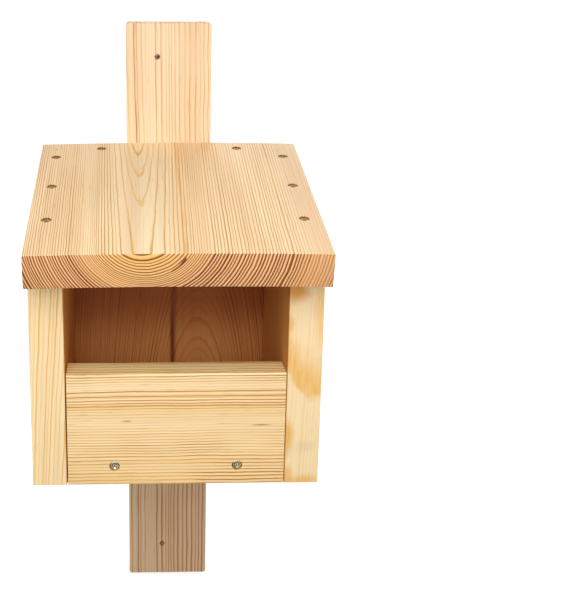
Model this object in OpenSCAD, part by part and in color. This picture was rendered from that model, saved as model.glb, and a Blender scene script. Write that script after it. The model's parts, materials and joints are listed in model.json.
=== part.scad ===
// Half-open nest box screwed to a mounting batten.
// Millimetres. +Z is up, +X is right and the open front looks along -Y.
// The origin is the middle of the batten's back face, which rests on the wall or trunk.

/* [Boards] */
// Thickness of the box boards
board_t = 20; // [18:0.5:24]
// Rounding of the planed long edges
edge_r = 0.6; // [0.3:0.1:1.5]

/* [Box] */
// Width over both side walls
box_w = 168; // [150:1:200]
// Depth of a side wall
box_d = 137; // [120:1:160]
// Height of a side wall at the back
wall_back_h = 160; // [152:1:180]
// Height of a side wall at the front
wall_front_h = 132; // [120:1:142]
// Height of the front board
front_h = 69; // [50:0.5:85]
// Gap between the left wall and the front board
front_gap_left = 0.6; // [0.2:0.1:1.5]
// Gap between the front board and the right wall
front_gap_right = 0.3; // [0.2:0.1:1.5]

/* [Roof] */
// Overhang of the roof past each side wall
roof_side = 0; // [0:0.5:20]
// Length of the roof's top face along the slope
roof_l = 168; // [155:1:190]

/* [Batten] */
// Width of the batten
batten_w = 56; // [40:1:80]
// Thickness of the batten
batten_t = 20; // [18:0.5:24]
// Length of the batten
batten_l = 400; // [380:1:450]
// Length of batten below the box
batten_below = 140; // [100:1:150]
// Rounding of the batten's end corners
batten_corner_r = 2; // [0.5:0.1:4]
// Width of the two fixing holes
fixing_d = 3.5; // [3:0.1:6]
// Upper fixing hole: distance from the upper end
upper_hole_end = 22; // [12:0.5:40]
// Upper fixing hole: distance from the batten's centre line
upper_hole_x = -7.5; // [-14:0.5:14]
// Lower fixing hole: distance from the lower end
lower_hole_end = 24; // [12:0.5:40]
// Lower fixing hole: distance from the batten's centre line
lower_hole_x = -4; // [-14:0.5:14]

/* [Screws] */
// Thickness of a screw's shank
screw_d = 3; // [2.5:0.1:4]
// Width of a screw's countersunk head
head_d = 6; // [5.5:0.1:8]
// Height of the straight rim round the head
head_rim = 0.3; // [0.1:0.1:0.6]
// Length of a screw
screw_l = 35; // [30:0.5:36]
// Depth of a head below the board's face
head_sink = 0.8; // [0.2:0.1:1.2]
// Width of the star recess in a head
recess_w = 2.8; // [2:0.1:3.4]
// Width of one groove of the star
recess_groove = 0.8; // [0.4:0.1:1.2]
// Depth of the star recess
recess_h = 1.2; // [0.6:0.1:1.6]
// Depth of a screw's pointed end
screw_tip = 5; // [3:0.1:8]
// Roof screws: distance from the side walls' outer faces
roof_screw_in = 10.5; // [8:0.5:13]
// Roof screws: spacing along the slope
roof_screw_step = 49; // [35:0.5:52]
// Roof screws: distance of the rear pair from the rear edge
roof_screw_rear = 24; // [20:0.5:30]
// Rear roof screws: distance from the back wall's side edges
rear_screw_in = 19.5; // [8:0.5:30]
// Front screws: distance from the side walls' inner faces
front_screw_in = 28; // [12:0.5:40]
// Front screws: height above the box's lower face
front_screw_z = 11.5; // [8:0.5:13]
// Side screws in the back wall: height of the lower one above the box's lower face
wall_screw_low = 48; // [35:1:70]
// Side screws in the back wall: height of the upper one above the box's lower face
wall_screw_high = 115; // [90:1:120]
// Side screws in the floor: distance of the fore one from the box's front
floor_screw_fore = 47; // [40:1:60]
// Side screws in the floor: distance of the rear one from the box's front
floor_screw_rear = 92; // [75:1:94]
// Batten screws: height of the lower one above the box's lower face
batten_screw_low = 40; // [25:1:60]
// Batten screws: height of the upper one above the box's lower face
batten_screw_high = 120; // [90:1:130]

/* [Hidden] */
$fn = 48;
// Places shared by the boards
box_z = batten_below - batten_l / 2;
back_y = -batten_t;
front_y = back_y - box_d;
inner_w = box_w - 2 * board_t;
inner_d = box_d - 2 * board_t;
slope = atan2(wall_back_h - wall_front_h, box_d);
roof_rise = board_t * tan(slope);
roof_w = box_w + 2 * roof_side;
// A head's cone is as high as it widens, which makes a right-angled countersink
head_h = head_rim + (head_d - screw_d) / 2;
// Middle planes that the screws run in
side_x = box_w / 2;
roof_screw_x = side_x - roof_screw_in;
rear_screw_x = inner_w / 2 - rear_screw_in;
front_screw_x = inner_w / 2 - front_screw_in;
floor_z = box_z + board_t / 2;
rear_wall_y = back_y - board_t / 2;
wall_low_z = box_z + wall_screw_low;
wall_high_z = box_z + wall_screw_high;
floor_fore_y = front_y + floor_screw_fore;
floor_rear_y = front_y + floor_screw_rear;
batten_low_z = box_z + batten_screw_low;
batten_high_z = box_z + batten_screw_high;
// Room for cuts that run out of a board
clear = batten_l;

// Section of a planed plank with eased arrises, from the origin to w by t
module plank_section(w, t) {
    translate([edge_r, 0]) square([w - 2 * edge_r, t]);
    translate([0, edge_r]) square([w, t - 2 * edge_r]);
    for (x = [edge_r, w - edge_r], y = [edge_r, t - edge_r]) translate([x, y]) circle(r = edge_r);
}

// Plank with upright grain
module upright(w, d, h) {
    linear_extrude(h) plank_section(w, d);
}

// Plank with its grain from left to right
module crosswise(l, d, h) {
    rotate([90, 0, 90]) linear_extrude(l) plank_section(d, h);
}

// Frame of the roof: y runs up the slope and z = 0 is the roof's lower face
module on_roof() {
    translate([0, back_y, box_z + wall_back_h]) rotate([slope, 0, 0]) children();
}

// All the room below the roof's lower face
module under_roof() {
    on_roof() translate([-clear, -clear, -clear]) cube([2 * clear, 2 * clear, clear]);
}

// Half section of a countersunk wood screw, its head up to the height given
module screw_profile(top) {
    polygon([
        [0, -head_sink - screw_l],
        [screw_d / 2, screw_tip - head_sink - screw_l],
        [screw_d / 2, -head_sink - head_h],
        [head_d / 2, -head_sink - head_rim],
        [head_d / 2, top],
        [0, top]
    ]);
}

// Six-pointed star recess
module star() {
    for (a = [0, 60, 120]) rotate(a) square([recess_w, recess_groove], center = true);
}

// Driven screw, with z = 0 on the board's face
module screw() {
    color("silver") difference() {
        rotate_extrude() screw_profile(-head_sink);
        translate([0, 0, -head_sink - recess_h]) linear_extrude(2 * recess_h) star();
    }
}

// What a driven screw takes out of the boards
module screw_bore() {
    rotate_extrude() screw_profile(head_d);
}

// Places of the screws, each with z pointing out of the board's face
module at_roof(x, from_rear) {
    on_roof() translate([x, roof_rise - from_rear, board_t]) children();
}
module at_front(x) {
    translate([x, front_y, box_z + front_screw_z]) rotate([90, 0, 0]) children();
}
module at_side(way, y, z) {
    translate([way * side_x, y, z]) rotate([0, way * 90, 0]) children();
}
module at_batten(z) {
    translate([0, 0, z]) rotate([-90, 0, 0]) children();
}

module roof_side_bores(way) {
    for (i = [0:2]) at_roof(way * roof_screw_x, roof_screw_rear + i * roof_screw_step) screw_bore();
}
module roof_back_bores() {
    for (way = [-1, 1]) at_roof(way * rear_screw_x, board_t / 2) screw_bore();
}
module front_bores() {
    for (way = [-1, 1]) at_front(way * front_screw_x) screw_bore();
}
module wall_bores(way) {
    for (z = [wall_low_z, wall_high_z]) at_side(way, rear_wall_y, z) screw_bore();
}
module floor_bores(way) {
    for (y = [floor_rear_y, floor_fore_y]) at_side(way, y, floor_z) screw_bore();
}
module batten_bores() {
    for (z = [batten_low_z, batten_high_z]) at_batten(z) screw_bore();
}

// Side wall: an upright plank cut to the roof's slope
module side_wall(way) {
    color("burlywood") difference() {
        intersection() {
            translate([way * (side_x - board_t / 2) - board_t / 2, front_y, box_z])
                upright(board_t, box_d, wall_back_h);
            under_roof();
        }
        roof_side_bores(way);
        wall_bores(way);
        floor_bores(way);
    }
}
module left_wall() { side_wall(-1); }
module right_wall() { side_wall(1); }

module back_wall() {
    color("tan") difference() {
        intersection() {
            translate([-inner_w / 2, back_y - board_t, box_z]) upright(inner_w, board_t, wall_back_h);
            under_roof();
        }
        roof_back_bores();
        wall_bores(-1);
        wall_bores(1);
        batten_bores();
    }
}

module floor_board() {
    color("wheat") difference() {
        translate([-inner_w / 2, front_y + board_t, box_z]) crosswise(inner_w, inner_d, board_t);
        front_bores();
        floor_bores(-1);
        floor_bores(1);
    }
}

module front_board() {
    color("navajowhite") difference() {
        translate([front_gap_left - inner_w / 2, front_y, box_z])
            crosswise(inner_w - front_gap_left - front_gap_right, board_t, front_h);
        front_bores();
    }
}

// Roof board: square at the front end, cut plumb at the rear to lie on the batten
module roof_board() {
    color("peru") difference() {
        on_roof() translate([-roof_w / 2, roof_rise, 0]) rotate([90, 0, 0])
            linear_extrude(roof_l) plank_section(roof_w, board_t);
        translate([-clear, back_y, -clear]) cube([2 * clear, clear, 2 * clear]);
        roof_side_bores(-1);
        roof_side_bores(1);
        roof_back_bores();
    }
}

// Outline of the batten's face with eased corners
module batten_face() {
    r = batten_corner_r;
    translate([r - batten_w / 2, -batten_l / 2]) square([batten_w - 2 * r, batten_l]);
    translate([-batten_w / 2, r - batten_l / 2]) square([batten_w, batten_l - 2 * r]);
    for (x = [-1, 1], y = [-1, 1]) translate([x * (batten_w / 2 - r), y * (batten_l / 2 - r)]) circle(r = r);
}

module batten() {
    color("sandybrown") difference() {
        intersection() {
            translate([-batten_w / 2, -batten_t, -batten_l / 2]) upright(batten_w, batten_t, batten_l);
            translate([0, 1, 0]) rotate([90, 0, 0]) linear_extrude(batten_t + 2) batten_face();
        }
        batten_bores();
        translate([upper_hole_x, 1, batten_l / 2 - upper_hole_end]) rotate([90, 0, 0])
            cylinder(d = fixing_d, h = batten_t + 2);
        translate([lower_hole_x, 1, lower_hole_end - batten_l / 2]) rotate([90, 0, 0])
            cylinder(d = fixing_d, h = batten_t + 2);
    }
}

module roof_screw_left_rear() { at_roof(-roof_screw_x, roof_screw_rear) screw(); }
module roof_screw_left_mid() { at_roof(-roof_screw_x, roof_screw_rear + roof_screw_step) screw(); }
module roof_screw_left_fore() { at_roof(-roof_screw_x, roof_screw_rear + 2 * roof_screw_step) screw(); }
module roof_screw_right_rear() { at_roof(roof_screw_x, roof_screw_rear) screw(); }
module roof_screw_right_mid() { at_roof(roof_screw_x, roof_screw_rear + roof_screw_step) screw(); }
module roof_screw_right_fore() { at_roof(roof_screw_x, roof_screw_rear + 2 * roof_screw_step) screw(); }
module roof_screw_back_left() { at_roof(-rear_screw_x, board_t / 2) screw(); }
module roof_screw_back_right() { at_roof(rear_screw_x, board_t / 2) screw(); }
module front_screw_left() { at_front(-front_screw_x) screw(); }
module front_screw_right() { at_front(front_screw_x) screw(); }
module left_screw_wall_low() { at_side(-1, rear_wall_y, wall_low_z) screw(); }
module left_screw_wall_high() { at_side(-1, rear_wall_y, wall_high_z) screw(); }
module left_screw_floor_rear() { at_side(-1, floor_rear_y, floor_z) screw(); }
module left_screw_floor_fore() { at_side(-1, floor_fore_y, floor_z) screw(); }
module right_screw_wall_low() { at_side(1, rear_wall_y, wall_low_z) screw(); }
module right_screw_wall_high() { at_side(1, rear_wall_y, wall_high_z) screw(); }
module right_screw_floor_rear() { at_side(1, floor_rear_y, floor_z) screw(); }
module right_screw_floor_fore() { at_side(1, floor_fore_y, floor_z) screw(); }
module batten_screw_low() { at_batten(batten_low_z) screw(); }
module batten_screw_high() { at_batten(batten_high_z) screw(); }

left_wall();
right_wall();
back_wall();
floor_board();
front_board();
roof_board();
batten();
roof_screw_left_rear();
roof_screw_left_mid();
roof_screw_left_fore();
roof_screw_right_rear();
roof_screw_right_mid();
roof_screw_right_fore();
roof_screw_back_left();
roof_screw_back_right();
front_screw_left();
front_screw_right();
left_screw_wall_low();
left_screw_wall_high();
left_screw_floor_rear();
left_screw_floor_fore();
right_screw_wall_low();
right_screw_wall_high();
right_screw_floor_rear();
right_screw_floor_fore();
batten_screw_low();
batten_screw_high();
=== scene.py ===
# %% [markdown]
# # A half-open nest box
# Seven softwood boards and twenty screws make this box: two side walls, a back wall, a floor, a low front
# board, a sloping roof and the batten that carries it on a wall or a trunk. All the boards are bare, planed
# wood, so the lesson is about two things: boards that look sawn, eased and drilled by hand, and wood whose
# grain runs through the whole board, so that its faces, edges and ends agree.

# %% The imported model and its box
import json
import math

import bpy
from mathutils import Euler, Matrix, Vector


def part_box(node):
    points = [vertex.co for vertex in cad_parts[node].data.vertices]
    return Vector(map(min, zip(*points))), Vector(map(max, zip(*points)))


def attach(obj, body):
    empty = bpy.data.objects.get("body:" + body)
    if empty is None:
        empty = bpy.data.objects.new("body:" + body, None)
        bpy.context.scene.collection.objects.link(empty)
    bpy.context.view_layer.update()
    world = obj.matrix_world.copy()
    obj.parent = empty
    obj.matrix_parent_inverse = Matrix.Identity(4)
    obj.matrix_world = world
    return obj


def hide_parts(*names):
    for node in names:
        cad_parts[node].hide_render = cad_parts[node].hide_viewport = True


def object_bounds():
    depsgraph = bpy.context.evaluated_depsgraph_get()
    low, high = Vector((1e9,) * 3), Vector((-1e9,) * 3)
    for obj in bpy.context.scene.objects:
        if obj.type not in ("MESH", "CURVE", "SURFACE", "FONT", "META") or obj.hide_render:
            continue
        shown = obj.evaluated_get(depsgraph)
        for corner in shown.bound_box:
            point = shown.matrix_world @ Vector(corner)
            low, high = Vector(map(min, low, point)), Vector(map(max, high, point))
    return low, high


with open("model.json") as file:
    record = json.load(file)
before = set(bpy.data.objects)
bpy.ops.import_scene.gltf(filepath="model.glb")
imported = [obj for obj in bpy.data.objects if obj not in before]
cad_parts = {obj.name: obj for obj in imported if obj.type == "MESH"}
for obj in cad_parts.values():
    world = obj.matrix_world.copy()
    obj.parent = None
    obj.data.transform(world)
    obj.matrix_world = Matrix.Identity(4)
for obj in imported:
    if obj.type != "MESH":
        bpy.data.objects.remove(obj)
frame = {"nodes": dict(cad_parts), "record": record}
cad_box = [list(corner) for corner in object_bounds()]
MM = 0.001

# %% [markdown]
# ## The camera
# The box is seen from in front, from a little above and almost in its middle. A view camera keeps upright
# edges upright by shifting its lens, and some of that shift is kept here. The rest is a plain tilt. A
# constraint could aim the camera, but a place and two turns are easier to read and to change.

# %% Camera
view = bpy.data.cameras.new("view")
eye = bpy.data.objects.new("eye", view)
bpy.context.scene.collection.objects.link(eye)
bpy.context.scene.camera = eye
eye.location = (-0.0255, -0.7518, 0.2358)
eye.rotation_euler = (math.radians(75.25), 0.0, math.radians(-1.39))
view.sensor_width = 36.0
view.lens = 66.14
view.shift_x = 0.2217
view.shift_y = -0.0733
view.clip_start = 0.01
view.clip_end = 100.0
bpy.context.scene.view_settings.view_transform = "Standard"
print("camera", [round(v, 3) for v in eye.location])

# %% [markdown]
# ## Six soft lamps
# Pale bare wood wants broad light, because a small lamp would draw hard shadows in the mouth. Three lamps
# stand in front: a low one lights the faces and reaches into the mouth, a high one lights the roof and lets
# the roof shade the wall tops, and a small one near the top lifts the roof a little more. One lamp behind and
# one at each side keep the other sides readable.

# %% Lamps


def soft_lamp(name, place, target, size, watts):
    """A square lamp that looks at a point."""
    lamp = bpy.data.lights.new(name, "AREA")
    lamp.size = size
    lamp.energy = watts
    holder = bpy.data.objects.new(name, lamp)
    bpy.context.scene.collection.objects.link(holder)
    holder.location = place
    holder.rotation_euler = (Vector(target) - Vector(place)).to_track_quat("-Z", "Y").to_euler()


middle = (Vector(cad_box[0]) + Vector(cad_box[1])) / 2
lamps = (
    ("front_lamp", (0.1, -1.5, 0.35), 0.9, 6.5),
    ("high_lamp", (-0.22, -1.17, 0.6), 0.9, 6.4),
    ("sky_lamp", (0.0, -0.95, 0.95), 0.6, 3.4),
    ("rear_lamp", (0.4, 1.4, 0.6), 1.0, 14.0),
    ("left_lamp", (-1.4, 0.15, 0.27), 0.7, 6.8),
    ("right_lamp", (1.4, 0.15, 0.27), 0.7, 6.8),
)
for name, place, size, watts in lamps:
    soft_lamp(name, place, middle, size, watts)
print("lamps", len(lamps), "watts", sum(lamp[3] for lamp in lamps))

# %% [markdown]
# ## A few words for nodes
# A finish is a graph of small steps. It could be wired by hand in the shader editor, but the wood below needs
# a hundred steps for each of seven boards. So each kind of step gets a short function, and a finish then
# reads like a sum.

# %% Steps with numbers and places


def put(tree, socket, value):
    """Wires a socket to another, or writes a plain value in it."""
    if isinstance(value, bpy.types.NodeSocket):
        tree.links.new(value, socket)
    elif value is not None:
        socket.default_value = value


def made(tree, kind, **values):
    """A node with some of its sockets set to plain values."""
    node = tree.nodes.new(kind)
    for socket, value in values.items():
        node.inputs[socket].default_value = value
    return node


def sums(tree, operation, a, b=None, c=None):
    """One step of arithmetic on numbers."""
    step = tree.nodes.new("ShaderNodeMath")
    step.operation = operation
    for socket, value in zip(step.inputs, (a, b, c)):
        put(tree, socket, value)
    return step.outputs[0]


def arrows(tree, operation, a, b=None):
    """One step of arithmetic on places and directions."""
    step = tree.nodes.new("ShaderNodeVectorMath")
    step.operation = operation
    put(tree, step.inputs[0], a)
    put(tree, step.inputs["Scale"] if operation == "SCALE" else step.inputs[1], b)
    return step.outputs["Value"] if operation in ("LENGTH", "DOT_PRODUCT") else step.outputs["Vector"]


def parts_of(tree, place):
    """The x, y and z of a place."""
    step = tree.nodes.new("ShaderNodeSeparateXYZ")
    put(tree, step.inputs[0], place)
    return step.outputs[0], step.outputs[1], step.outputs[2]


def remap(tree, value, low, high, to_low=0.0, to_high=1.0, smooth=True):
    """Spreads a span of numbers over another span, and stops at its ends."""
    step = tree.nodes.new("ShaderNodeMapRange")
    step.interpolation_type = "SMOOTHSTEP" if smooth else "LINEAR"
    for name, number in (("From Min", low), ("From Max", high), ("To Min", to_low), ("To Max", to_high)):
        step.inputs[name].default_value = number
    put(tree, step.inputs["Value"], value)
    return step.outputs["Result"]


def near(tree, value, centre, half):
    """1 at a value, fading to 0 at half a width to both sides."""
    gap = sums(tree, "ABSOLUTE", sums(tree, "SUBTRACT", value, centre))
    return remap(tree, gap, 0.0, half, 1.0, 0.0)


print("steps with numbers are ready")

# %% Steps with noise and colour


def cloud(tree, place, scale, detail=2.0, rough=0.5):
    """Soft noise: its grey value and its colour."""
    step = made(tree, "ShaderNodeTexNoise", Scale=scale, Detail=detail, Roughness=rough)
    put(tree, step.inputs["Vector"], place)
    return step.outputs["Fac"], step.outputs["Color"]


def swing(tree, place, scale, detail=2.0):
    """Noise as a small push in any direction, with no push on average."""
    return arrows(tree, "SUBTRACT", cloud(tree, place, scale, detail)[1], (0.5, 0.5, 0.5))


def tint(tree, share, first, second, way="MIX"):
    """Mixes two colours."""
    step = tree.nodes.new("ShaderNodeMix")
    step.data_type = "RGBA"
    step.blend_type = way
    put(tree, step.inputs[0], share)
    put(tree, step.inputs[6], first)
    put(tree, step.inputs[7], second)
    return step.outputs[2]


def ramp(tree, value, stops):
    """A grey that follows a list of (place, level) stops."""
    step = tree.nodes.new("ShaderNodeValToRGB")
    marks = step.color_ramp.elements
    while len(marks) < len(stops):
        marks.new(0.5)
    for mark, (place, level) in zip(marks, stops):
        mark.position = place
        mark.color = (level, level, level, 1.0)
    put(tree, step.inputs["Fac"], value)
    return step.outputs["Color"]


def colour(red, green, blue):
    """A colour from a paint card, 0 to 255, as light."""
    steps = [v / 255.0 for v in (red, green, blue)]
    light = [v / 12.92 if v <= 0.04045 else ((v + 0.055) / 1.055) ** 2.4 for v in steps]
    return (*light, 1.0)


print("mid grey as light", round(colour(128, 128, 128)[0], 3))

# %% [markdown]
# ## A white studio
# The box stands before plain white. White from strong light would wash out the pale wood, so the world asks
# what kind of ray looks at it: it is dim for the wood, and white for the camera and in mirrors. The floor
# does the same. Near the box it glows a little less by itself, so the shadow stays.

# %% World


def seen_directly(tree, otherwise, then):
    """One shader where a ray comes from the camera, a mirror or glass, and another one elsewhere."""
    path = tree.nodes.new("ShaderNodeLightPath")
    first = sums(tree, "MAXIMUM", path.outputs["Is Camera Ray"], path.outputs["Is Glossy Ray"])
    choose = tree.nodes.new("ShaderNodeMixShader")
    put(tree, choose.inputs[0], sums(tree, "MAXIMUM", first, path.outputs["Is Transmission Ray"]))
    put(tree, choose.inputs[1], otherwise)
    put(tree, choose.inputs[2], then)
    return choose.outputs[0]


world = bpy.data.worlds.new("studio")
bpy.context.scene.world = world
world.use_nodes = True
sky = world.node_tree
sky.nodes.clear()
dim = made(sky, "ShaderNodeBackground", Color=(1.0, 0.99, 0.97, 1.0), Strength=0.32)
white = made(sky, "ShaderNodeBackground", Color=(1.0, 1.0, 1.0, 1.0), Strength=1.0)
sky_out = sky.nodes.new("ShaderNodeOutputWorld")
put(sky, sky_out.inputs["Surface"], seen_directly(sky, dim.outputs[0], white.outputs[0]))
print("world nodes", len(sky.nodes))

# %% Floor
floor_size = 30.0
floor_gap = 0.5 * MM
bpy.ops.object.select_all(action="DESELECT")
bpy.ops.mesh.primitive_plane_add(size=floor_size, location=(0.0, 0.0, cad_box[0][2] - floor_gap))
floor_sheet = bpy.context.object
floor_sheet.name = "studio_floor"
pale = bpy.data.materials.new("studio_floor")
pale.use_nodes = True
ground = pale.node_tree
ground.nodes.clear()
matt = made(ground, "ShaderNodeBsdfDiffuse", Color=(0.25, 0.25, 0.25, 1.0))
thin = made(ground, "ShaderNodeBsdfDiffuse", Color=(0.34, 0.34, 0.34, 1.0))
glow = made(ground, "ShaderNodeEmission", Color=(1.0, 1.0, 1.0, 1.0))
from_box = ground.nodes.new("ShaderNodeTexCoord")
away = arrows(ground, "LENGTH", from_box.outputs["Object"])
put(ground, glow.inputs["Strength"], remap(ground, away, 0.2, 1.1, 0.78, 1.0))
lit = ground.nodes.new("ShaderNodeAddShader")
put(ground, lit.inputs[0], glow.outputs[0])
put(ground, lit.inputs[1], thin.outputs[0])
ground_out = ground.nodes.new("ShaderNodeOutputMaterial")
put(ground, ground_out.inputs["Surface"], seen_directly(ground, matt.outputs[0], lit.outputs[0]))
floor_sheet.data.materials.append(pale)
print("floor at", round(floor_sheet.location.z, 4))

# %% [markdown]
# ## Softwood that is solid
# A softwood board is a stack of cones: each year adds a pale, soft layer that ends in a thin, dark, hard one.
# Cut along the trunk they show as lines and arches, cut across it as arcs. A finish could draw such lines on
# each face, but they would not meet at the edges. So this one works out how far each point lies from the
# trunk's middle, the pith, counts the years out to there, and colours by the part of the year.
#
# The dark share of a year rises slowly and stops at once, as the growing season does. On a sawn end it looks
# wider than on a planed face, because end grain drinks in the light. Wood near the pith has thinner dark
# layers than older wood. That makes four ramps.

# %% Seasons and a plain trunk
YOUNG_SEASON = [(0.0, 0.15), (0.06, 0.0), (0.62, 0.03), (0.78, 0.2), (0.88, 0.9), (0.95, 1.0), (1.0, 0.3)]
FACE_SEASON = [(0.0, 0.35), (0.12, 0.0), (0.4, 0.04), (0.62, 0.32), (0.8, 0.92), (0.92, 1.0), (1.0, 0.4)]
END_SEASON = [(0.0, 0.5), (0.06, 0.0), (0.32, 0.02), (0.48, 0.35), (0.6, 0.92), (0.94, 1.0), (1.0, 0.7)]
CORE_SEASON = [(0.0, 0.3), (0.06, 0.0), (0.4, 0.02), (0.62, 0.3), (0.76, 0.9), (0.94, 1.0), (1.0, 0.4)]
PLAIN_TRUNK = {
    "spacing": None, "growth": None, "spells": 2.6, "seed": 0.0,
    "lean": (0.0, 0.0, 0.0), "egg": 0.0, "drift": 1.5 * MM, "roam": 0.25, "ripple": 0.3 * MM,
    "weakest": 0.4, "contrast": 1.0, "bleached": None, "calm": (), "quiet": (),
    "marked": (), "pockets": (), "streaks": (),
}
print("a trunk has", len(PLAIN_TRUNK), "habits")

# %% Where a point lies in its trunk


def axis_of(turn):
    """The direction in which a turn lays the local z."""
    return tuple(Euler(turn).to_matrix() @ Vector((0.0, 0.0, 1.0)))


def drawn_out(tree, place, share):
    """A place squeezed along the grain, so that noise on it is drawn out that way."""
    return arrows(tree, "MULTIPLY", place, (1.0, 1.0, share))


def in_the_trunk(tree, spot, pith, turn, trunk):
    """A point's place in a trunk that wanders, ripples, leans and bows, and its distance from the pith."""
    laid = made(tree, "ShaderNodeMapping", Location=pith, Rotation=turn)
    laid.vector_type = "TEXTURE"
    put(tree, laid.inputs["Vector"], spot)
    seed = trunk["seed"]
    shifted = arrows(tree, "ADD", laid.outputs["Vector"], (seed, seed * 0.7, seed * 0.4))
    slow = drawn_out(tree, shifted, trunk["roam"])
    quick = drawn_out(tree, shifted, 0.55)
    moved = laid.outputs["Vector"]
    for place, scale, push in ((slow, 14.0, trunk["drift"]), (quick, 110.0, trunk["ripple"])):
        moved = arrows(tree, "ADD", moved, arrows(tree, "SCALE", swing(tree, place, scale), push * 2.0))
    x, y, z = parts_of(tree, moved)
    start, slant, bow = trunk["lean"]
    bowed = sums(tree, "MULTIPLY_ADD", sums(tree, "MULTIPLY_ADD", z, bow, slant), z, start)
    across = tree.nodes.new("ShaderNodeCombineXYZ")
    put(tree, across.inputs[0], x)
    put(tree, across.inputs[1], sums(tree, "SUBTRACT", y, bowed))
    reach = sums(tree, "MULTIPLY_ADD", x, -trunk["egg"], arrows(tree, "LENGTH", across.outputs[0]))
    sided = sums(tree, "MULTIPLY", reach, sums(tree, "SIGN", x))
    return {"x": x, "z": z, "reach": reach, "sided": sided, "shifted": shifted, "slow": slow, "quick": quick}


print("upright grain points to", axis_of((0.0, 0.0, 0.0)))

# %% Counting the years


def line_noise(tree, reach, seed, scale):
    """Noise that depends on one number alone."""
    step = made(tree, "ShaderNodeTexNoise", Scale=scale)
    step.noise_dimensions = "1D"
    put(tree, step.inputs["W"], sums(tree, "ADD", reach, seed))
    return step


def even_years(tree, reach, trunk):
    """Years at an even spacing, moved a few years to and fro by wider and narrower spells."""
    spells = line_noise(tree, reach, trunk["seed"], 0.22 / trunk["spacing"])
    spells.inputs["Detail"].default_value = 1.0
    evenly = sums(tree, "DIVIDE", reach, trunk["spacing"])
    return sums(tree, "MULTIPLY_ADD", spells.outputs["Fac"], trunk["spells"], evenly)


def grown_years(tree, reach, trunk):
    """Years that follow a few (radius in mm, years) pairs of one trunk, less evenly so in its outer wood."""
    span, count = trunk["growth"][-1]
    uneven = line_noise(tree, reach, trunk["seed"], 190.0)
    swung = sums(tree, "MULTIPLY", sums(tree, "SUBTRACT", uneven.outputs["Fac"], 0.5), trunk["spells"])
    swung = sums(tree, "MULTIPLY", swung, remap(tree, reach, 28.0 * MM, 40.0 * MM))
    table = tree.nodes.new("ShaderNodeFloatCurve")
    points = table.mapping.curves[0].points
    points[0].location = (0.0, 0.0)
    points[1].location = (1.0, 1.0)
    for radius, years in trunk["growth"][:-1]:
        points.new(radius / span, years / count)
    for point in points:
        point.handle_type = "VECTOR"
    table.mapping.update()
    put(tree, table.inputs["Value"], sums(tree, "DIVIDE", reach, span * MM))
    return sums(tree, "MULTIPLY_ADD", table.outputs["Value"], count, swung)


def year_at(tree, reach, trunk):
    """The part of its year that a point grew in, and a number drawn for that year."""
    count_years = even_years if trunk["growth"] is None else grown_years
    years = count_years(tree, reach, trunk)
    chance = tree.nodes.new("ShaderNodeTexWhiteNoise")
    chance.noise_dimensions = "1D"
    draw_from = trunk["seed"] * 91.0 + 0.37
    put(tree, chance.inputs["W"], sums(tree, "ADD", sums(tree, "FLOOR", years), draw_from))
    return sums(tree, "FRACT", years), chance.outputs["Value"]


print("years: even, or grown by spells")

# %% The dark layers of a planed face


def calmed(tree, dark, reach, spells):
    """Weakens the dark layers round some (radius, half width, strength) spells of quiet growth."""
    for radius, half, strength in spells:
        share = remap(tree, near(tree, reach, radius, half), 0.0, 1.0, 1.0, 1.0 - strength)
        dark = sums(tree, "MULTIPLY", dark, share)
    return dark


def late_layers(tree, at, season, chance, trunk):
    """The hard late layers, and the same as dark as they look on this board."""
    vigour = remap(tree, chance, 0.0, 1.0, trunk["weakest"], 1.0, smooth=False)
    grown = remap(tree, at["reach"], 16.0 * MM, 26.0 * MM)
    layer = tint(tree, grown, ramp(tree, season, YOUNG_SEASON), ramp(tree, season, FACE_SEASON))
    late = sums(tree, "MULTIPLY", layer, vigour)
    fade = remap(tree, cloud(tree, at["slow"], 30.0)[0], 0.3, 0.65, 0.6, 1.0)
    dark = sums(tree, "MULTIPLY", sums(tree, "MULTIPLY", late, fade), trunk["contrast"])
    if trunk["bleached"] is not None:
        foot, head, left = trunk["bleached"]
        dark = sums(tree, "MULTIPLY", dark, remap(tree, at["z"], foot, head, 1.0, left))
    dark = calmed(tree, dark, at["reach"], trunk["calm"])
    dark = calmed(tree, dark, at["sided"], trunk["quiet"])
    for radius, half, strength in trunk["marked"]:
        line = sums(tree, "MULTIPLY", near(tree, at["reach"], radius, half), strength)
        dark = sums(tree, "MAXIMUM", dark, line)
    return late, sums(tree, "MINIMUM", dark, 1.0)


print("dark layers: young and grown")

# %% Colour along and across the grain


def layered(tree, dark, pale_tone, amber, late):
    """Pale wood that turns amber and then dark, as its layers do."""
    skin = tint(tree, remap(tree, dark, 0.0, 0.55), pale_tone, amber)
    return tint(tree, remap(tree, dark, 0.35, 1.0), skin, late)


def speckled(tree, skin, noise, low, high, darkest, lightest):
    """Lets noise darken and lighten a colour a little."""
    return tint(tree, 1.0, skin, remap(tree, noise, low, high, darkest, lightest, smooth=False), "MULTIPLY")


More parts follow.
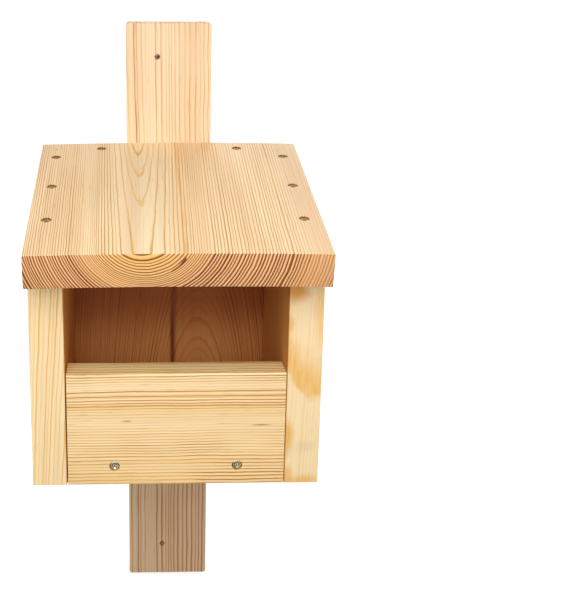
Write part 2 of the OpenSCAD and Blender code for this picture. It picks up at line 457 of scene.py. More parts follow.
def planed_face(tree, at, dark, palette, streaks):
    """Two pale tones, the dark layers, fine fibres, short resin canals and single streaks."""
    shifted = at["shifted"]
    bands = cloud(tree, drawn_out(tree, shifted, 0.08), 42.0, 3.0)[0]
    pale_tone = tint(tree, remap(tree, bands, 0.36, 0.66), palette["early"], palette["early_b"])
    skin = layered(tree, dark, pale_tone, palette["amber"], palette["late"])
    fibres = cloud(tree, drawn_out(tree, shifted, 0.011), 1150.0, 3.0, 0.65)[0]
    skin = speckled(tree, skin, fibres, 0.25, 0.75, 0.88, 1.07)
    canals = cloud(tree, drawn_out(tree, shifted, 0.07), 900.0, 1.0)[0]
    skin = tint(tree, remap(tree, canals, 0.67, 0.76, 0.0, 0.3), skin, palette["late"])
    for side, half, mark, strength in streaks:
        broken = remap(tree, cloud(tree, at["quick"], 45.0)[0], 0.35, 0.6, 0.25, 1.0)
        share = sums(tree, "MULTIPLY", near(tree, at["x"], side, half), broken)
        skin = tint(tree, sums(tree, "MULTIPLY", share, strength), skin, mark, "MULTIPLY")
    return skin, fibres


def sawn_end(tree, at, season, chance, palette, trunk):
    """Broad dark layers, dark resin pockets along a ring, and pores that show as specks."""
    reach = at["reach"]
    age = remap(tree, reach, 14.0 * MM, 42.0 * MM)
    pale_tone = tint(tree, age, palette["end_core"], palette["end_early"])
    strong = remap(tree, chance, 0.0, 1.0, 0.72, 1.0, smooth=False)
    mature = remap(tree, reach, 27.0 * MM, 38.0 * MM)
    layer = tint(tree, mature, ramp(tree, season, CORE_SEASON), ramp(tree, season, END_SEASON))
    dark = calmed(tree, sums(tree, "MULTIPLY", layer, strong), at["sided"], trunk["quiet"])
    skin = layered(tree, dark, pale_tone, palette["end_amber"], palette["end_late"])
    for radius, half, start, stop in trunk["pockets"]:
        opens = remap(tree, at["x"], start, start + 3.0 * MM)
        closes = remap(tree, at["x"], stop - MM, stop, 1.0, 0.0)
        share = sums(tree, "MULTIPLY", sums(tree, "MULTIPLY", opens, closes), near(tree, reach, radius, half))
        skin = tint(tree, share, skin, palette["end_late"])
    specks = cloud(tree, at["shifted"], 2600.0)[0]
    return speckled(tree, skin, specks, 0.3, 0.7, 0.88, 1.08)


print("colour along and across the grain")

# %% Softwood


def softwood(name, pith, turn, palette, extra=None, **habits):
    """Bare planed wood. pith is a point on the trunk's middle, and turn lays the local z along the grain."""
    trunk = {**PLAIN_TRUNK, **habits}
    finish = bpy.data.materials.new(name)
    finish.use_nodes = True
    tree = finish.node_tree
    tree.nodes.clear()
    spot = tree.nodes.new("ShaderNodeTexCoord")
    at = in_the_trunk(tree, spot.outputs["Object"], pith, turn, trunk)
    season, chance = year_at(tree, at["reach"], trunk)
    late, dark = late_layers(tree, at, season, chance, trunk)
    face_skin, fibres = planed_face(tree, at, dark, palette, trunk["streaks"])
    end_skin = sawn_end(tree, at, season, chance, palette, trunk)
    endwise = arrows(tree, "DOT_PRODUCT", spot.outputs["Normal"], axis_of(turn))
    skin = tint(tree, remap(tree, sums(tree, "ABSOLUTE", endwise), 0.7, 0.9), face_skin, end_skin)
    if extra is not None:
        skin = extra(tree, spot.outputs["Object"], skin)

    # The hard layer is a little smoother and stands a little proud
    coat = tree.nodes.new("ShaderNodeBsdfPrincipled")
    out = tree.nodes.new("ShaderNodeOutputMaterial")
    coat.inputs["Specular IOR Level"].default_value = 0.3
    put(tree, coat.inputs["Base Color"], skin)
    put(tree, coat.inputs["Roughness"], remap(tree, late, 0.0, 1.0, 0.66, 0.5, smooth=False))
    bump = made(tree, "ShaderNodeBump", Strength=0.35, Distance=0.12 * MM)
    proud = sums(tree, "MULTIPLY_ADD", late, 0.7, sums(tree, "MULTIPLY", fibres, 0.8))
    put(tree, bump.inputs["Height"], proud)
    put(tree, coat.inputs["Normal"], bump.outputs["Normal"])
    put(tree, out.inputs["Surface"], coat.outputs[0])
    return finish


print("softwood is ready")

# %% [markdown]
# ## Resin, age and painted light
# Some marks aren't rings. Resin has soaked the right wall in amber patches, and a streak runs down the back
# wall. Others are painted light and shade: the inner faces are warmer and darker, partly their own tone and
# partly painted shade of the box's inside, the batten's foot is darker with painted shade from the box above,
# the roof's screw holes have painted shade in their mouths, and the front board's top edge has painted light.
# They could be painted on a picture, but that needs a map. Here each mark is a soft shape in the board's own
# space, with edges broken up by noise. It multiplies, so the grain still shows through.

# %% Kinds of stain


def stain(tree, place, skin, centre, size, mark, strength, ragged=0.6):
    """Lays a soft-edged patch of colour over a finish."""
    off = arrows(tree, "DIVIDE", arrows(tree, "SUBTRACT", place, centre), size)
    torn = arrows(tree, "SCALE", swing(tree, place, 110.0, 3.0), ragged)
    far = arrows(tree, "LENGTH", arrows(tree, "ADD", off, torn))
    return tint(tree, remap(tree, far, 0.25, 1.0, strength, 0.0), skin, mark, "MULTIPLY")


def shaded_side(tree, place, skin, axis, clear, aged, mark):
    """Tints a board towards one of its faces."""
    along = parts_of(tree, place)[axis]
    return tint(tree, remap(tree, along, clear, aged), skin, mark, "MULTIPLY")


def inner_tone_and_shade(tree, place, skin, face, inwards, mark):
    """The inner face of a wall, warmer and darker: partly the tree's warmer tone, partly painted shade of the
    box's inside.
    """
    return shaded_side(tree, place, skin, 0, face + inwards * 0.6 * MM, face + inwards * 0.1 * MM, mark)


def smeared_edge(tree, place, skin, face):
    """A front edge whose lines are half hidden, as where a dull saw has smeared the fibres."""
    deep = parts_of(tree, place)[1]
    return tint(tree, remap(tree, deep, face + MM, face + 4 * MM, 0.6, 0.0), skin, colour(243, 217, 172))


def resin_front(tree, place, skin, corner, mark):
    """A band of resin with a sharp sagging foot, fading upwards, in the front few millimetres of a wall."""
    foot = corner.z + 70 * MM
    steep = 2.1
    sag = 63.0
    x, y, z = parts_of(tree, place)
    torn = sums(tree, "MULTIPLY", sums(tree, "SUBTRACT", cloud(tree, place, 120.0, 3.0)[0], 0.5), 9 * MM)
    side = sums(tree, "SUBTRACT", x, corner.x)
    drop = sums(tree, "MULTIPLY", side, sums(tree, "MULTIPLY_ADD", side, -sag, steep))
    rise = sums(tree, "ADD", sums(tree, "SUBTRACT", sums(tree, "ADD", z, drop), foot), torn)
    mottle = cloud(tree, drawn_out(tree, place, 0.2), 330.0)[0]
    share = remap(tree, rise, -2 * MM, 4 * MM)
    for limit in (remap(tree, rise, 8 * MM, 36 * MM, 1.0, 0.0),
                  remap(tree, y, corner.y + MM, corner.y + 8 * MM, 1.0, 0.0),
                  remap(tree, mottle, 0.3, 0.7, 0.65, 1.0)):
        share = sums(tree, "MULTIPLY", share, limit)
    return tint(tree, share, skin, mark, "MULTIPLY")


print("stains: patch, side, smear and resin")

# %% Marks of the walls and the batten


def right_marks(tree, place, skin):
    """Amber on the right wall's front edge, and the inner face warmed and darkened, partly with painted shade.
    """
    low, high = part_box("right_wall")
    amber = colour(242, 210, 140)
    honey = colour(250, 230, 184)
    brown = colour(228, 180, 106)
    grey = colour(232, 230, 232)
    edge_middle = high.x - 9 * MM
    patches = (
        ((high.x, 45 * MM), (7, 9, 34), honey, 0.8),
        ((low.x, 39 * MM), (5, 8, 7), amber, 0.7),
        ((low.x + 4 * MM, 58 * MM), (11, 9, 9), brown, 0.95),
        ((low.x, -31 * MM), (6.5, 9, 16), amber, 0.95),
        ((low.x, -56 * MM), (7, 9, 11), amber, 0.7),
        ((edge_middle, low.z), (16, 9, 7), amber, 0.8),
        ((edge_middle, -37 * MM), (9, 6, 6), grey, 0.45),
    )
    skin = smeared_edge(tree, place, skin, low.y)
    for (x, z), size, mark, strength in patches:
        skin = stain(tree, place, skin, (x, low.y, z), [side * MM for side in size], mark, strength)
    skin = resin_front(tree, place, skin, low, colour(243, 213, 150))
    # The inner face gets a warmer tone and painted shade of the box's inside
    return inner_tone_and_shade(tree, place, skin, low.x, 1, colour(226, 182, 132))


def left_marks(tree, place, skin):
    """The left wall, with its inner face to the right."""
    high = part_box("left_wall")[1]
    # The inner face gets a warmer tone and painted shade of the box's inside
    return inner_tone_and_shade(tree, place, skin, high.x, -1, colour(238, 192, 136))


def batten_foot_shade(tree, place, skin):
    """The batten's foot, darker and greyer than its head: painted shade from the box above."""
    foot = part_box("batten")[0].z
    # Painted shade on the batten below the box
    return shaded_side(tree, place, skin, 2, foot + 130 * MM, foot + 50 * MM, colour(228, 221, 220))


def back_marks(tree, place, skin):
    """The back wall's inner face, warmer and darker, partly its own tone and partly painted shade that deepens
    towards the top under the roof, with a resinous streak down its middle.
    """
    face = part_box("back_wall")[0].y
    deep, tall = parts_of(tree, place)[1:]
    inner = remap(tree, deep, face + 4 * MM, face + MM)
    shade_under_roof = remap(tree, tall, -26 * MM, 20 * MM)
    # Painted shade of the box's inside on the inner face, mixed with a warmer tone, and deeper painted shade
    # towards the top, under the roof
    skin = tint(tree, inner, skin, colour(232, 188, 148), "MULTIPLY")
    skin = tint(tree, sums(tree, "MULTIPLY", inner, shade_under_roof), skin, colour(180, 144, 104), "MULTIPLY")
    streak = ((3 * MM, face, 10 * MM), (3.0 * MM, 8 * MM, 90 * MM), colour(205, 180, 160))
    core = ((2 * MM, face, -14 * MM), (2.2 * MM, 8 * MM, 40 * MM), colour(170, 140, 120))
    for centre, size, mark in (streak, core):
        skin = stain(tree, place, skin, centre, size, mark, 0.9, ragged=0.2)
    return skin


print("marks of the walls and the batten")

# %% Marks of the front board and the roof


def front_marks(tree, place, skin):
    """A top edge brightened with painted light, with its own lines, a paler foot, a short pitch line and a
    small eye.
    """
    low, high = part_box("front_board")
    deep, tall = parts_of(tree, place)[1:]
    crest = remap(tree, tall, high.z - 1.0 * MM, high.z - 0.3 * MM)
    # Painted light: the top edge is lifted to look as lit from above
    painted_top_light = (1.14, 1.24, 1.16, 1.0)
    skin = tint(tree, crest, skin, painted_top_light, "MULTIPLY")
    waver = sums(tree, "MULTIPLY", cloud(tree, place, 45.0)[0], 5 * MM)
    waved = sums(tree, "ADD", sums(tree, "SUBTRACT", deep, low.y), waver)
    for line_at in (6.5, 10.0, 14.5, 18.5):
        line = sums(tree, "MULTIPLY", near(tree, waved, line_at * MM, 0.8 * MM), crest)
        skin = tint(tree, line, skin, colour(226, 190, 140), "MULTIPLY")
    skin = shaded_side(tree, place, skin, 2, low.z + 38 * MM, low.z + 12 * MM, colour(255, 252, 242))
    dash = (high.x - 14 * MM, low.y, high.z - 32 * MM)
    small_eye = (low.x + 35 * MM, low.y, high.z - 29 * MM)
    for centre, wide, thick, mark, ragged in ((dash, 8 * MM, 0.5 * MM, colour(150, 120, 100), 0.05),
                                              (small_eye, 4 * MM, 0.9 * MM, colour(225, 185, 130), 0.15)):
        skin = stain(tree, place, skin, centre, (wide, 3 * MM, thick), mark, 0.9, ragged)
    return skin


def painted_mouth_shade(tree, place, skin, head, way):
    """Darkens the wall of a screw hole's mouth with painted shade, as the hollow round a sunk head lies in
    shade.
    """
    off = arrows(tree, "SUBTRACT", place, head)
    inside = remap(tree, arrows(tree, "DOT_PRODUCT", off, way), 0.35 * MM, 0.75 * MM, 1.0, 0.0)
    close = remap(tree, arrows(tree, "LENGTH", off), head_r + 0.6 * MM, head_r + 1.2 * MM, 1.0, 0.0)
    return tint(tree, sums(tree, "MULTIPLY", inside, close), skin, colour(172, 150, 128), "MULTIPLY")


def roof_marks(tree, place, skin):
    """A duller rear and right end, and painted shade in the mouths of the roof's screw holes."""
    low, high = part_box("roof_board")
    skin = shaded_side(tree, place, skin, 1, low.y + 40 * MM, high.y - 15 * MM, colour(246, 245, 243))
    skin = shaded_side(tree, place, skin, 0, high.x - 36 * MM, high.x - 6 * MM, colour(247, 244, 243))
    for name, (head, way) in screw_spots.items():
        if name.startswith("roof_"):
            skin = painted_mouth_shade(tree, place, skin, head, way)
    return skin


print("marks of the front board and the roof")

# %% [markdown]
# ## The slope of the roof
# The roof lies on the walls at a slope, and the walls are cut to it. The slope could be written down as a
# number, but that would be wrong as soon as the model changes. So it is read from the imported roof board: its
# largest face that looks up gives the slope, and its largest face that looks down gives the cut.

# %% Roof plane
roof_mesh = frame["nodes"]["roof_board"].data
facing_up = [face for face in roof_mesh.polygons if face.normal.z > 0.7]
facing_down = [face for face in roof_mesh.polygons if face.normal.z < -0.7]
top_face = max(facing_up, key=lambda face: face.area)
under_face = max(facing_down, key=lambda face: face.area)
roof_up = top_face.normal.copy()
slope = math.atan2(-roof_up.y, roof_up.z)
roof_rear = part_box("roof_board")[1].y
under_z = under_face.center.z - roof_up.y / roof_up.z * (roof_rear - under_face.center.y)
roof_corner = Vector((0.0, roof_rear, under_z))
roof_frame = Matrix.Translation(roof_corner) @ Matrix.Rotation(slope, 4, "X")
roof_points = [roof_frame.inverted() @ vertex.co for vertex in roof_mesh.vertices]
roof_low = Vector([min(point[axis] for point in roof_points) for axis in range(3)])
roof_high = Vector([max(point[axis] for point in roof_points) for axis in range(3)])
print("roof slope", round(math.degrees(slope), 2), "thick", round(roof_high.z / MM, 2))

# %% [markdown]
# ## Where the screws are
# Twenty countersunk screws hold the box. Their places could be typed in again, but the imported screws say
# where each head lies, and their names which way it faces. The roof's screws stand square to its slope and
# follow its cup, which is made further down.

# %% Screw places
crown = 1.0 * MM
FACING = {"front": (0, -1, 0), "batten": (0, 1, 0), "left": (-1, 0, 0), "right": (1, 0, 0)}


def head_of(name):
    """The middle of a packed screw's head, and the way it faces."""
    low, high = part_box(name)
    centre = (low + high) / 2
    if name.startswith("roof_"):
        radius = (high.x - low.x) / 2
        place = Vector((centre.x, low.y + radius * math.cos(slope), high.z - radius * math.sin(slope)))
        return place + roof_up * crown * (1 - (centre.x / roof_high.x) ** 2), roof_up
    way = Vector(FACING[name.split("_")[0]])
    return Vector([(high[i] if way[i] > 0 else low[i]) if way[i] else centre[i] for i in range(3)]), way


screw_spots = {name: head_of(name) for name in frame["nodes"] if "screw" in name}
screw_low, screw_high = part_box("front_screw_left")
head_r = max((screw_high - screw_low)[i] for i in (0, 2)) / 2
length = screw_high.y - screw_low.y
shank_r = head_r / 2
tip = 5.0 * MM
neck = head_r - shank_r + 0.3 * MM
print("screws", len(screw_spots), "head radius", round(head_r / MM, 2), "length", round(length / MM, 2))

# %% [markdown]
# ## Four kinds of colour
# No two boards come from one tree. The roof is warm with strong layers, the front, back and floor are straw
# yellow, the side walls cream and the batten peach. A palette holds four paints for planed faces and four for
# sawn ends, from pale to dark. One palette for all the boards would look like one plank.

# %% Palettes
TONES = ("early", "early_b", "amber", "late", "end_early", "end_core", "end_amber", "end_late")


def palette_of(*paints):
    """Names the eight paints of a board."""
    return {tone: colour(*paint) for tone, paint in zip(TONES, paints)}


warm = palette_of((254, 230, 188), (246, 211, 168), (240, 196, 132), (200, 140, 72),
                  (244, 196, 144), (248, 202, 122), (208, 134, 60), (118, 50, 10))
straw = palette_of((248, 221, 176), (243, 211, 162), (236, 190, 118), (166, 102, 40),
                   (242, 194, 134), (242, 196, 120), (214, 148, 80), (140, 70, 22))
cream = palette_of((252, 226, 182), (248, 217, 168), (242, 204, 132), (214, 160, 84),
                   (236, 190, 136), (238, 194, 128), (214, 154, 90), (160, 92, 42))
peach = palette_of((243, 217, 179), (238, 206, 166), (232, 190, 140), (184, 134, 86),
                   (242, 198, 148), (238, 190, 130), (218, 158, 98), (166, 98, 50))
print("a palette has", len(warm), "paints")

# %% [markdown]
# ## The trunk each board came from
# Two things place a board in its trunk: where the pith runs, and which way the grain lies. The roof was cut
# just beside the pith, so its front end shows arcs and its top arches. The front board and the floor have
# lying grain, the other boards upright grain. Rings could be left to chance, but a few that stand out on the
# real boards are given by their distance from the pith.

# %% Roof wood
down_the_roof = (math.radians(90.0) + slope, 0.0, 0.0)
pith_x = -21.5 * MM
roof_pith = roof_frame @ Vector((pith_x, roof_high.y, roof_high.z))
roof_growth = [(8.5, 4), (12.2, 6), (15.0, 7), (18.5, 8), (21.8, 10),
               (25.5, 12), (28.6, 14), (33.0, 18), (37.0, 21), (120.0, 74)]
roof_wood = softwood("roof_wood", roof_pith, down_the_roof, warm, roof_marks, growth=roof_growth, seed=0.31,
                     lean=(8.0 * MM, 0.062, -0.12), egg=0.12, drift=0.9 * MM, ripple=0.4 * MM,
                     contrast=1.12, spells=0.9, weakest=0.62, calm=((8.0 * MM, 16.0 * MM, 0.4),),
                     quiet=((94.0 * MM, 26.0 * MM, 0.5), (-37.0 * MM, 9.0 * MM, 0.4)),
                     pockets=((28.1 * MM, 0.9 * MM, 16.0 * MM, 26.0 * MM),
                              (27.6 * MM, 1.4 * MM, 21.0 * MM, 26.0 * MM)),
                     streaks=((25.5 * MM, 1.6 * MM, colour(240, 204, 136), 0.65),))
print("roof wood", len(roof_wood.node_tree.nodes), "nodes")

# %% Wood for the other boards
upright = (0.0, 0.0, 0.0)
leaning = (0.0, math.radians(2.0), 0.0)
lying = (math.radians(90.0), math.radians(0.5), math.radians(90.0))
front_wood = softwood("front_wood", (0.0, -77 * MM, -120 * MM), lying, straw, front_marks, seed=1.7,
                      spacing=1.35 * MM, roam=0.6, spells=0.7, weakest=0.6, contrast=1.14,
                      calm=((127.0 * MM, 12.0 * MM, 0.55), (143.0 * MM, 9.0 * MM, 0.5)),
                      marked=((142.8 * MM, 0.5 * MM, 0.95), (140.4 * MM, 0.5 * MM, 0.95),
                              (138.4 * MM, 0.5 * MM, 0.9), (135.7 * MM, 1.5 * MM, 0.5)))
left_wood = softwood("left_wall_wood", (-29 * MM, -97 * MM, 0.0), leaning, cream, left_marks, seed=2.3,
                     spacing=1.4 * MM, drift=2.0 * MM, contrast=0.9, lean=(0.0, 0.02, 0.0))
right_wood = softwood("right_wall_wood", (30 * MM, -100 * MM, 0.0), upright, cream, right_marks, seed=3.9,
                      spacing=1.8 * MM, drift=3.0 * MM, contrast=0.65, lean=(0.0, -0.02, 0.0))
back_wood = softwood("back_wall_wood", (19 * MM, -15 * MM, 0.0), upright, straw, back_marks, seed=5.2,
                     spacing=1.7 * MM, drift=2.4 * MM, contrast=0.85, lean=(0.0, 0.2, 0.0))
floor_wood = softwood("floor_wood", (0.0, -70 * MM, -100 * MM), lying, straw, seed=6.6, spacing=2.1 * MM)
batten_wood = softwood("batten_wood", (75 * MM, 30 * MM, 0.0), upright, peach, batten_foot_shade, seed=8.1,
                       spacing=2.2 * MM, drift=3.0 * MM, roam=0.6, contrast=1.35, spells=1.8, weakest=0.25,
                       bleached=(-90 * MM, 40 * MM, 0.58),
                       marked=((109.0 * MM, 0.45 * MM, 1.0), (107.4 * MM, 0.4 * MM, 0.8)),
                       streaks=((-96.2 * MM, 0.9 * MM, colour(226, 186, 158), 0.9),))
print("batten wood", len(batten_wood.node_tree.nodes), "nodes")

# %% [markdown]
# ## The boards
# A board starts as a cube, stretched to the size of its CAD piece. Boards that meet the roof are cut on its
# slope with a bisect. Long edges of a planed board are eased more than the sawn ends, so the bevel reads a
# weight from each edge. One bevel all round would be quicker, but it makes a board look moulded.

# %% Board helpers


def pick(piece):
    """Selects one piece alone, so that operators act on nothing else."""
    bpy.ops.object.select_all(action="DESELECT")
    piece.select_set(True)
    bpy.context.view_layer.objects.active = piece


def settle():
    """Writes the place, turn and size of what is selected into its mesh."""
    bpy.ops.object.transform_apply(location=True, rotation=True, scale=True)


def blank(name, low, high):
    """A square-edged board between two corners."""
    bpy.ops.object.select_all(action="DESELECT")
    centre = [(a + b) / 2 for a, b in zip(low, high)]
    bpy.ops.mesh.primitive_cube_add(size=1.0, location=centre)
    board = bpy.context.object
    board.name = name
    board.scale = [b - a for a, b in zip(low, high)]
    settle()
    return board


def edit(piece):
    """Opens a piece's mesh, with everything in it selected."""
    bpy.context.view_layer.objects.active = piece
    bpy.ops.object.mode_set(mode="EDIT")
    bpy.ops.mesh.select_all(action="SELECT")


def done():
    """Closes the mesh that is open."""
    bpy.ops.object.mode_set(mode="OBJECT")


def saw(board, point, normal):
    """Cuts off what lies on the normal's side of a plane, and closes the cut."""
    edit(board)
    bpy.ops.mesh.bisect(plane_co=point, plane_no=normal, use_fill=True, clear_outer=True)
    done()


def ease(board, way, along=0.6 * MM, others=0.25 * MM):
    """Rounds the edges of the active board, those that run one way more than the others."""
    mesh = board.data
    weights = mesh.attributes.new("bevel_weight_edge", "FLOAT", "EDGE")
    for edge in mesh.edges:
        a, b = (mesh.vertices[i].co for i in edge.vertices)
        runs_along = abs((b - a).normalized().dot(Vector(way))) > 0.9
        weights.data[edge.index].value = 1.0 if runs_along else others / along
    rounding = board.modifiers.new("eased_edges", "BEVEL")
    rounding.limit_method = "WEIGHT"
    rounding.width = along
    rounding.segments = 4
    bpy.ops.object.modifier_apply(modifier=rounding.name)


def combine(board, tool, operation):
    """Joins one solid to another or cuts it out, and throws the tool away."""
    step = board.modifiers.new("combined", "BOOLEAN")
    step.operation = operation
    step.solver = "EXACT"
    step.object = tool
    bpy.context.view_layer.objects.active = board
    bpy.ops.object.modifier_apply(modifier=step.name)
    bpy.data.objects.remove(tool)


print("board helpers: blank, saw, ease and combine")

# %% Walls, floor, front and batten
boards = {}
for name in ("left_wall", "right_wall", "back_wall"):
    boards[name] = blank(name + "_board", *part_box(name))
    saw(boards[name], roof_corner, roof_up)
    ease(boards[name], (0, 0, 1))
for name in ("floor_board", "front_board"):
    boards[name] = blank(name + "_plank", *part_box(name))
    ease(boards[name], (1, 0, 0))

# A saw leaves a thin lip at the front board's lower left end, which nearly closes the gap from below
end_low, end_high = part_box("front_board")
lip_low = end_low + Vector((-0.5 * MM, 3.0 * MM, 0.0))
lip_high = Vector((end_low.x + 1.0 * MM, end_high.y - 0.5 * MM, end_low.z + 0.7 * MM))
combine(boards["front_board"], blank("lip", lip_low, lip_high), "UNION")
boards["batten"] = blank("batten_plank", *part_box("batten"))
ease(boards["batten"], (0, 1, 0), 2.0 * MM, 0.6 * MM)
print("boards", {name: len(board.data.polygons) for name, board in boards.items()})

# %% [markdown]
# ## The roof board
# The roof has cupped a little, as boards cut close to the pith do: its middle stands a millimetre higher than
# its sides. A bend modifier would turn the ends too. So it is cut into strips by bisects and lifted along its
# middle line with proportional editing, whose inverse square falloff is a parabola. Then it is tilted and
# sawn plumb at the rear.

# %% Roof
strips = 16
spare = 2.0 * MM
on_the_line = 0.1 * MM
roof = blank("roof_plank", roof_low, roof_high + Vector((0.0, spare, 0.0)))
boards["roof_board"] = roof
ease(roof, (0, 1, 0))
edit(roof)
for strip in range(1, strips):
    bpy.ops.mesh.select_all(action="SELECT")
    cut_x = roof_low.x + (roof_high.x - roof_low.x) * strip / strips
    bpy.ops.mesh.bisect(plane_co=(cut_x, 0, 0), plane_no=(1, 0, 0))
done()
for kind in (roof.data.polygons, roof.data.edges, roof.data.vertices):
    kind.foreach_set("select", [False] * len(kind))
for vertex in roof.data.vertices:
    vertex.select = abs(vertex.co.x) < on_the_line
bpy.ops.object.mode_set(mode="EDIT")
bpy.ops.mesh.select_mode(type="VERT")
bpy.ops.transform.translate(value=(0, 0, crown), use_proportional_edit=True,
                            proportional_edit_falloff="INVERSE_SQUARE", proportional_size=roof_high.x)
done()
highest = max(vertex.co.z for vertex in roof.data.vertices)
print("roof cupped by", round((highest - roof_high.z) / MM, 2), "mm")
roof.matrix_world = roof_frame
pick(roof)
settle()
saw(roof, roof_corner, (0, 1, 0))

# %% [markdown]
# ## Screw holes
# Every board is drilled where its screws go. A hole could be a dark spot in the finish, but from the side it
# would look flat. The drill is a circle, extruded and scaled from step to step as on a lathe: a long bore, a
# cone for the countersink and a mouth as wide as the head. A boolean takes it out of the board. Each drill is
# turned further than the last, so that the corners of two holes don't lie on one line.

# %% Drill helpers


def turned(name, steps, sides=40):
    """A solid of revolution: a circle extruded from step to step of (radius, height), closed at both ends."""
    bpy.ops.object.select_all(action="DESELECT")
    bpy.ops.mesh.primitive_circle_add(vertices=sides, radius=steps[0][0], location=(0, 0, steps[0][1]),
                                      fill_type="NGON")
    piece = bpy.context.object
    piece.name = name
    settle()
    edit(piece)
    bpy.ops.mesh.select_mode(type="FACE")
    for (radius, height), (new_radius, new_height) in zip(steps, steps[1:]):
        bpy.ops.mesh.extrude_region_move(TRANSFORM_OT_translate={"value": (0, 0, new_height - height)})
        share = new_radius / radius
        bpy.ops.transform.resize(value=(share, share, 1.0), center_override=(0, 0, new_height))
    bpy.ops.mesh.select_all(action="SELECT")
    bpy.ops.mesh.normals_make_consistent(inside=False)
    done()
    return piece


def stand(piece, place, direction):
    """Stands a piece, made upright at the origin, on a place, and bakes that into its mesh."""
    lay = Vector(direction).to_track_quat("Z", "Y").to_matrix().to_4x4()
    piece.matrix_world = Matrix.Translation(place) @ lay
    pick(piece)
    settle()


def clean(piece):
    """Splits wide faces into triangles, and takes out those that a cut has left without any area."""
    hair = 0.001 * MM
    edit(piece)
    bpy.ops.mesh.quads_convert_to_tris(quad_method="BEAUTY", ngon_method="BEAUTY")
    bpy.ops.mesh.dissolve_degenerate(threshold=hair)
    done()


print("drill helpers: turned, stand and clean")

# %% Drilling
twist = 0.31
play = 0.15 * MM
drill_steps = [(0.2 * MM, -length - play), (shank_r + play / 4, tip - length - play),
               (shank_r + play / 4, -neck), (head_r + play, -0.3 * MM), (head_r + play, 0.8 * MM),
               (head_r + 2 * play, 6.0 * MM)]
drilled = {
    "roof_board": ("roof_",),
    "left_wall": ("left_", "roof_screw_left"),
    "right_wall": ("right_", "roof_screw_right"),
    "back_wall": ("left_screw_wall", "right_screw_wall", "batten_", "roof_screw_back"),
    "floor_board": ("left_screw_floor", "right_screw_floor", "front_"),
    "front_board": ("front_",),
    "batten": ("batten_",),
}
for name, kinds in drilled.items():
    bits = []
    for screw_name, (place, direction) in screw_spots.items():
        if screw_name.startswith(kinds):
            bits.append(turned("drill", drill_steps))
            bits[-1].data.transform(Matrix.Rotation(twist * len(bits), 4, "Z"))
            stand(bits[-1], place, direction)
    pick(bits[0])
    for bit in bits:
        bit.select_set(True)
    bpy.ops.object.join()
    combine(boards[name], bits[0], "DIFFERENCE")
    print("drilled", name, len(bits))

# %% [markdown]
# ## Fixing holes
# The batten has a small hole near each end, for the nails or screws that carry the box. Size and place could
# be typed in, but the record's mounts have them. The holes were drilled freehand, so they point a little
# downwards, and the drill has widened their mouths.

# %% Fixing holes in the batten
batten_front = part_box("batten")[0].y
freehand_tilt = Vector((0.0, 0.0, -0.11))
past_the_batten = 2.0 * MM
for mount in frame["record"]["mounts"]:
    if mount["kind"] == "bore":
        radius = mount["dims"]["r_mm"] * MM
        through = mount["dims"]["length_mm"] * MM + past_the_batten
        bit = turned("drill", [(radius, -through), (radius, -0.7 * MM), (radius + 0.15 * MM, 0.0),
                               (radius + 0.2 * MM, 1.0 * MM)], sides=28)
        mouth = (mount["pos_m"][0], batten_front, mount["pos_m"][2])
        stand(bit, mouth, Vector(mount["axis"]) + freehand_tilt)
        combine(boards["batten"], bit, "DIFFERENCE")
        print("fixing hole", mount["name"])

# %% [markdown]
# ## Plated steel
# The screws are plated steel that has dulled. A plain grey would look like plastic, so the finish is all
# metal, mottled by fine noise. Heads that look up get a paler, yellower base colour as well: a painted
# reflection of the white sky, on top of what the metal mirrors.

# %% Steel
steel = bpy.data.materials.new("screw_steel")
steel.use_nodes = True
plating = steel.node_tree
shine = plating.nodes["Principled BSDF"]
shine.inputs["Metallic"].default_value = 1.0
where = plating.nodes.new("ShaderNodeTexCoord")
mottle = cloud(plating, where.outputs["Object"], 900.0, 3.0)[0]
patchy = remap(plating, mottle, 0.3, 0.7)
worn = tint(plating, patchy, colour(176, 168, 140), colour(112, 102, 78))
# Painted reflection: a paler, yellower copy of the plating for heads that face the sky
sky_sheen = tint(plating, patchy, colour(236, 202, 146), colour(200, 164, 108))
upward = arrows(plating, "DOT_PRODUCT", where.outputs["Normal"], (0.0, 0.0, 1.0))
put(plating, shine.inputs["Base Color"], tint(plating, remap(plating, upward, 0.6, 0.95), worn, sky_sheen))
put(plating, shine.inputs["Roughness"], remap(plating, mottle, 0.3, 0.7, 0.2, 0.36))
print("steel nodes", len(plating.nodes))

# %% [markdown]
# ## One screw, twenty times
# The screw is turned on the same lathe: tip, shank, cone, rim and a slightly hollow top. A six-pointed star
# is pressed into the head: a circle of twelve corners, every second one drawn inwards, extruded and widened,
# and taken out by a boolean. The screw is modelled once and copied, each copy with its own mesh and turn.

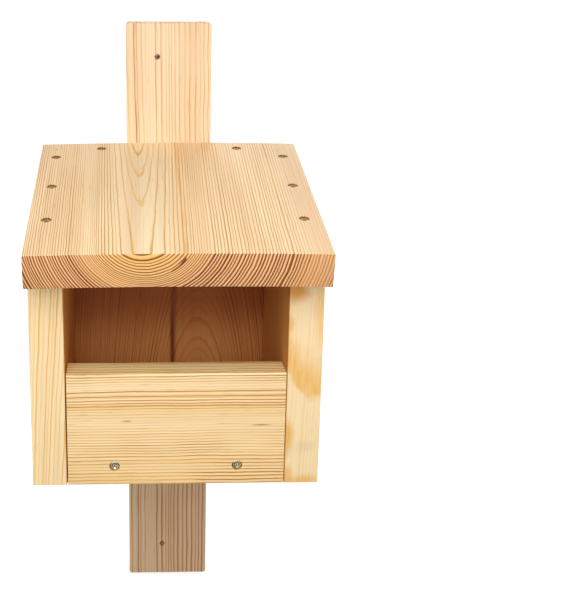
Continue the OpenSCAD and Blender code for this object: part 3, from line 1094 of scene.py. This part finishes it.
# %% The first screw
screw = turned("screw", [(0.15 * MM, -length), (shank_r, tip - length), (shank_r, -neck),
                         (head_r - 0.05 * MM, -0.55 * MM), (head_r, -0.45 * MM),
                         (head_r - 0.55 * MM, -0.06 * MM), (head_r - 0.75 * MM, 0.0),
                         (head_r - 1.05 * MM, 0.0), (head_r - 1.9 * MM, -0.6 * MM)], sides=48)
star_r = 1.2 * MM
star_deep = 1.7 * MM
star_waist = 0.66
star_flare = 1.25
star_corners = 12
bpy.ops.object.select_all(action="DESELECT")
bpy.ops.mesh.primitive_circle_add(vertices=star_corners, radius=star_r, location=(0, 0, -star_deep),
                                  fill_type="NGON")
star = bpy.context.object
settle()
for number in range(0, star_corners, 2):
    corner = star.data.vertices[number].co
    star.data.vertices[number].co = (corner.x * star_waist, corner.y * star_waist, corner.z)
edit(star)
bpy.ops.mesh.extrude_region_move(TRANSFORM_OT_translate={"value": (0, 0, 2 * star_deep)})
bpy.ops.transform.resize(value=(star_flare, star_flare, 1.0), center_override=(0, 0, star_deep))
bpy.ops.mesh.select_all(action="SELECT")
bpy.ops.mesh.normals_make_consistent(inside=False)
done()
combine(screw, star, "DIFFERENCE")
clean(screw)
screw.data.materials.append(steel)
pick(screw)
screw_soft = math.radians(28.0)
bpy.ops.object.shade_smooth_by_angle(angle=screw_soft)
print("screw faces", len(screw.data.polygons))

# %% All screws
screw_turn = 0.9
for number, (name, (place, direction)) in enumerate(screw_spots.items()):
    copy = screw.copy()
    copy.data = screw.data.copy()
    copy.name = name + "_driven"
    bpy.context.scene.collection.objects.link(copy)
    copy.data.transform(Matrix.Rotation(screw_turn * number, 4, "Z"))
    stand(copy, place, direction)
    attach(copy, "root")
    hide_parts(name)
bpy.data.objects.remove(screw)
print("screws driven", len(screw_spots))

# %% [markdown]
# ## Dressing the boards
# The drilled boards take the place of their CAD pieces, each with its own wood. Smooth shading by angle keeps
# the eased edges soft and the saw cuts sharp, where plain smooth shading would make the flat faces look bent.

# %% Boards in place
dress = {
    "roof_board": (roof_wood, "roof_wood"), "front_board": (front_wood, "front_wood"),
    "left_wall": (left_wood, "wall_wood"), "right_wall": (right_wood, "wall_wood"),
    "back_wall": (back_wood, "back_wood"), "floor_board": (floor_wood, "floor_wood"),
    "batten": (batten_wood, "batten_wood"),
}
board_soft = math.radians(35.0)
for name, board in boards.items():
    finish, slot = dress[name]
    clean(board)
    board.data.materials.clear()
    board.data.materials.append(finish)
    pick(board)
    bpy.ops.object.shade_smooth_by_angle(angle=board_soft)
    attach(board, "root")
    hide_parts(name)
    print(name, "as", board.name, len(board.data.polygons))
